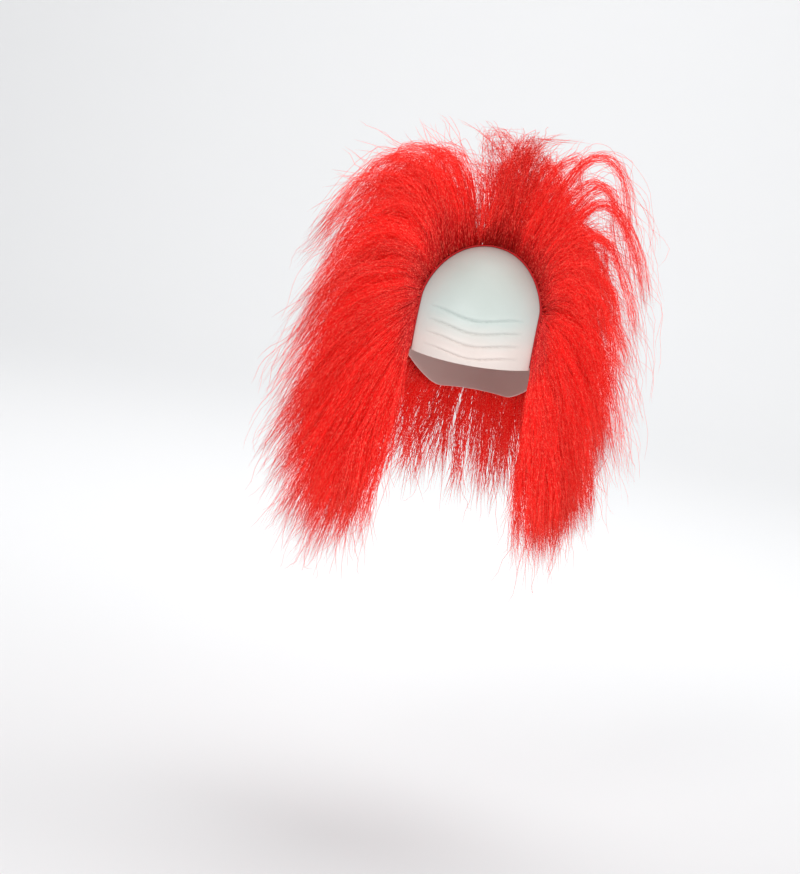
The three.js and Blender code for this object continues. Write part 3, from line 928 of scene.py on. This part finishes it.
def loose_locks(rng):
    owner = np.repeat(np.arange(len(LOOSE_LOCKS)), [lock.strands for lock in LOOSE_LOCKS])
    lock = Loose(*(np.array(column, float)[owner] for column in zip(*LOOSE_LOCKS)))
    count = len(owner)
    along = LOOSE_ALONG + rng.uniform(-0.04, 0.08, count)
    gathered = lock_handles(lock.around, np.full(count, LOOSE_ALONG), lock.reach, lock.length)
    length = lock.length * rng.uniform(0.82, 1.06, count)
    own = lock_handles(lock.around + rng.normal(0, 0.015, count), along, lock.reach, length)
    loose = rng.normal(0, 0.0022, (count, 3))
    middle = mix(own[1], gathered[1], TOGETHER) + loose
    tip = mix(own[2], gathered[2], TOGETHER) + loose * 2
    points = strand_points((own[0], middle, tip), LOOSE_STEPS)
    lengths = lengths_of(points)
    tangles = np.array([lock.tangle for lock in LOOSE_LOCKS])
    together = np.full(len(LOOSE_LOCKS), 0.2)
    points += sway(rng, len(LOOSE_LOCKS), LOOSE_STEPS, together, 0.004 * tangles, 0.12)[owner]
    points += sway(rng, count, LOOSE_STEPS, lengths, 0.0013 * lock.tangle, 0.06)
    points = curled(rng, points, rng.uniform(0.0004, 0.0016, count), rng.uniform(0.02, 0.04, count))
    # Painted shade: the more tangled locks, which make the ragged tuft, are made darker.
    tone = 0.5 - 0.12 * (lock.tangle - 1) + rng.normal(0, 0.13, count)
    return points, np.clip(tone, 0.02, 0.98)


print("loose locks", len(LOOSE_LOCKS), "strands", sum(lock.strands for lock in LOOSE_LOCKS))

# %% [markdown]
# Whatever grows, the same two steps make it a piece: widths along each strand, and a mesh.

# %% Widths and pieces
SWELL = 6  # how fast a strand reaches its full width
TIP_THINNER = 0.6


def taper(count, steps, radius, first):
    """Widths that start at a share of the radius, are full a little later, and thin out again."""
    s = np.linspace(0, 1, steps)
    profile = np.minimum(first + s * SWELL, 1) * (1 - TIP_THINNER * s)
    return np.reshape(radius, (-1, 1)) * profile * np.ones((count, 1))


def add_strands(name, points, width, tone, place):
    mesh, triangles = tube_mesh(name, drawn_back(points), width, tone, place)
    piece = bpy.data.objects.new(name, mesh)
    bpy.context.collection.objects.link(piece)
    print(name, len(points), "strands,", triangles, "triangles")
    return piece, triangles


print("tips are", round(1 - TIP_THINNER, 2), "of the full width")

# %% [markdown]
# Each tuft is grown with its own seed, so it comes out the same each time. Its strands stand for
# the solid of the same name, and its frizz and wisps are two more meshes beside them.

# %% Grow the tufts
tuft_pieces = []
strand_triangles = 0
for seed, tuft in enumerate(TUFTS):
    rng = np.random.default_rng(seed + 1)
    points, tone = tuft_strands(tuft, rng)
    points = clear_of_head(points, rng.uniform(0.003, 0.009, tuft.strands))
    radius = STRAND_RADIUS * tuft.coarseness * rng.uniform(0.75, 1.2, tuft.strands)
    shares = np.broadcast_to(np.linspace(0, 1, STRAND_STEPS), (tuft.strands, STRAND_STEPS))
    fibres, fibre_tone, fibre_place = frizz_fibres(rng, points, tone, tuft.frizz)
    fibres = clear_of_head(fibres, rng.uniform(0.004, 0.01, tuft.frizz))
    wisps = clear_of_head(curly_wisps(rng, tuft), rng.uniform(0.004, 0.012, tuft.wisps))
    wisp_place = np.broadcast_to(np.linspace(0, 1, WISP_STEPS), (tuft.wisps, WISP_STEPS))
    wisp_tone = rng.uniform(0.25, 0.7, tuft.wisps)
    layers = [
        ("strands", points, taper(tuft.strands, STRAND_STEPS, radius, 1.0), tone, shares),
        ("frizz", fibres, taper(tuft.frizz, FRIZZ_STEPS, FRIZZ_RADIUS, 0.4), fibre_tone, fibre_place),
        ("wisps", wisps, taper(tuft.wisps, WISP_STEPS, WISP_RADIUS, 1.0), wisp_tone, wisp_place),
    ]
    for layer, *values in layers:
        piece, triangles = add_strands(f"{tuft.name}_{layer}", *values)
        strand_triangles += triangles
        tuft_pieces.append(piece)
        if layer == "strands":
            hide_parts(tuft.name)

rng = np.random.default_rng(11)
points, tone = loose_locks(rng)
shares = np.broadcast_to(np.linspace(0, 1, LOOSE_STEPS), points.shape[:2])
radius = STRAND_RADIUS * rng.uniform(0.7, 1.1, len(points))
widths = taper(len(points), LOOSE_STEPS, radius, 1.0)
piece, triangles = add_strands("loose_locks", clear_of_head(points, radius + 0.004), widths, tone, shares)
strand_triangles += triangles
tuft_pieces.append(piece)
print("all strands", strand_triangles, "triangles")

# %% [markdown]
# The fibre is dyed one red, and its finish paints in much of the light and shade on it: deep crimson
# at the roots is painted shade, bright scarlet is the red of the lengths, a warmer, lighter red at the
# thin tips is painted light that shows through them, and some strands are lighter than the next.
# Each strand carries its own lightness and its share from root to tip in its UV map. The fibre is also
# crimped more finely than its mesh, so a noise stretched over that map paints it lighter and darker in
# short steps, with pale painted glints at the peaks, as crimps look when they catch the light. A weak
# painted glow stands in for the light that goes through thin fibre.

# %% Hair finish
# The root red is painted shade and the tip red is painted light through the thin tips; the middle red is
# the fibre's own.
ROOT_SHADE_RED = linear(212, 16, 22)
MID_RED = linear(251, 24, 17)
TIP_LIT_RED = linear(252, 56, 44)
# Painted glow: the hair gives off a little light of its own, standing in for light through thin fibre.
HAIR_PAINTED_GLOW = 0.13  # light that goes through thin fibre instead of off it
# A pale red for painted glints on the crimps.
PAINTED_GLINT_RED = linear(255, 118, 98)
CRIMPS = 80  # along one strand
STRAND_SHIFT = 900  # how far apart the crimps of two shades lie
CRIMP_DEPTH = 1.6


def hair_finish():
    material, shader = new_finish("hair")
    tree = material.node_tree
    place = add_node(tree, "ShaderNodeUVMap", uv_map="strand")
    split = add_node(tree, "ShaderNodeSeparateXYZ")
    join(tree, place.outputs["UV"], split.inputs["Vector"])
    # Root to tip: painted shade, the fibre's own red, painted light at the tip.
    ramp = ramp_between(tree, [(0.0, ROOT_SHADE_RED), (0.22, MID_RED), (0.7, MID_RED), (1.0, TIP_LIT_RED)])
    join(tree, split.outputs["Y"], ramp.inputs["Fac"])
    stretched = add_node(tree, "ShaderNodeVectorMath", operation="MULTIPLY")
    stretched.inputs[1].default_value = (STRAND_SHIFT, CRIMPS, 0)
    join(tree, place.outputs["UV"], stretched.inputs[0])
    crimp = add_node(tree, "ShaderNodeTexNoise", {"Scale": 1.0, "Detail": 1.0})
    join(tree, stretched.outputs["Vector"], crimp.inputs["Vector"])
    crimped = add_node(tree, "ShaderNodeMath", operation="MULTIPLY_ADD")
    crimped.inputs[1].default_value = CRIMP_DEPTH
    join(tree, crimp.outputs["Fac"], crimped.inputs[0])
    join(tree, split.outputs["X"], crimped.inputs[2])
    # Painted light and shade of the crimps.
    shade = add_node(tree, "ShaderNodeMapRange", {"To Min": 0.66, "To Max": 1.25})
    shade.inputs["From Min"].default_value = CRIMP_DEPTH / 2
    shade.inputs["From Max"].default_value = 1 + CRIMP_DEPTH / 2
    join(tree, crimped.outputs["Value"], shade.inputs["Value"])
    tinted = add_node(tree, "ShaderNodeHueSaturation")
    join(tree, shade.outputs["Result"], tinted.inputs["Value"])
    join(tree, ramp.outputs["Color"], tinted.inputs["Color"])
    # Painted glints where the crimp noise peaks.
    glint = add_node(tree, "ShaderNodeMapRange", {"From Min": 0.52, "From Max": 0.7, "To Max": 0.9})
    join(tree, crimp.outputs["Fac"], glint.inputs["Value"])
    glinting = add_node(tree, "ShaderNodeMix", data_type="RGBA")
    join(tree, glint.outputs["Result"], glinting.inputs[0])
    join(tree, tinted.outputs["Color"], glinting.inputs[6])
    glinting.inputs[7].default_value = (*PAINTED_GLINT_RED, 1)
    join(tree, glinting.outputs[2], shader.inputs["Base Color"])
    # The painted glow.
    join(tree, glinting.outputs[2], shader.inputs["Emission Color"])
    shader.inputs["Emission Strength"].default_value = HAIR_PAINTED_GLOW
    shader.inputs["Roughness"].default_value = 0.5
    shader.inputs["Specular IOR Level"].default_value = 0.35
    return material


def cloth_finish():
    material, shader = new_finish("woven")
    tree = material.node_tree
    mottle = add_mottle(tree, broad=60, fine=1400, fine_share=0.6)
    ramp = ramp_between(tree, [(0.3, linear(150, 10, 14)), (0.7, linear(196, 18, 22))])
    join(tree, mottle.outputs["Mask"], ramp.inputs["Fac"])
    join(tree, ramp.outputs["Color"], shader.inputs["Base Color"])
    bump = add_node(tree, "ShaderNodeBump", {"Strength": 0.5, "Distance": 0.0005})
    join(tree, mottle.outputs["Fine"], bump.inputs["Height"])
    join(tree, bump.outputs["Normal"], shader.inputs["Normal"])
    shader.inputs["Roughness"].default_value = 0.85
    return material


HAIR = hair_finish()
for piece in tuft_pieces:
    piece.data.materials.append(HAIR)
base.data.materials.append(cloth_finish())
print("hair finish on", len(tuft_pieces), "tufts")

# %% [markdown]
# The paper of the stage is plain, near white and matt.

# %% Paper finish
paper, paper_shader = new_finish("paper")
paper_shader.inputs["Base Color"].default_value = (0.76, 0.765, 0.775, 1)
paper_shader.inputs["Roughness"].default_value = 0.9
floor.data.materials.append(paper)
print("paper on", floor.name)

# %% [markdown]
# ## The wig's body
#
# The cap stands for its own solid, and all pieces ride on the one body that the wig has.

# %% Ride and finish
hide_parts("bald_cap")
for piece in [cap, base, *tuft_pieces]:
    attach(piece, "root")

evaluated = bpy.context.evaluated_depsgraph_get()
total = 0
for piece in [cap, base, *tuft_pieces]:
    dressed = piece.evaluated_get(evaluated).to_mesh()
    dressed.calc_loop_triangles()
    total += len(dressed.loop_triangles)
    piece.evaluated_get(evaluated).to_mesh_clear()
print("triangles in all", total)
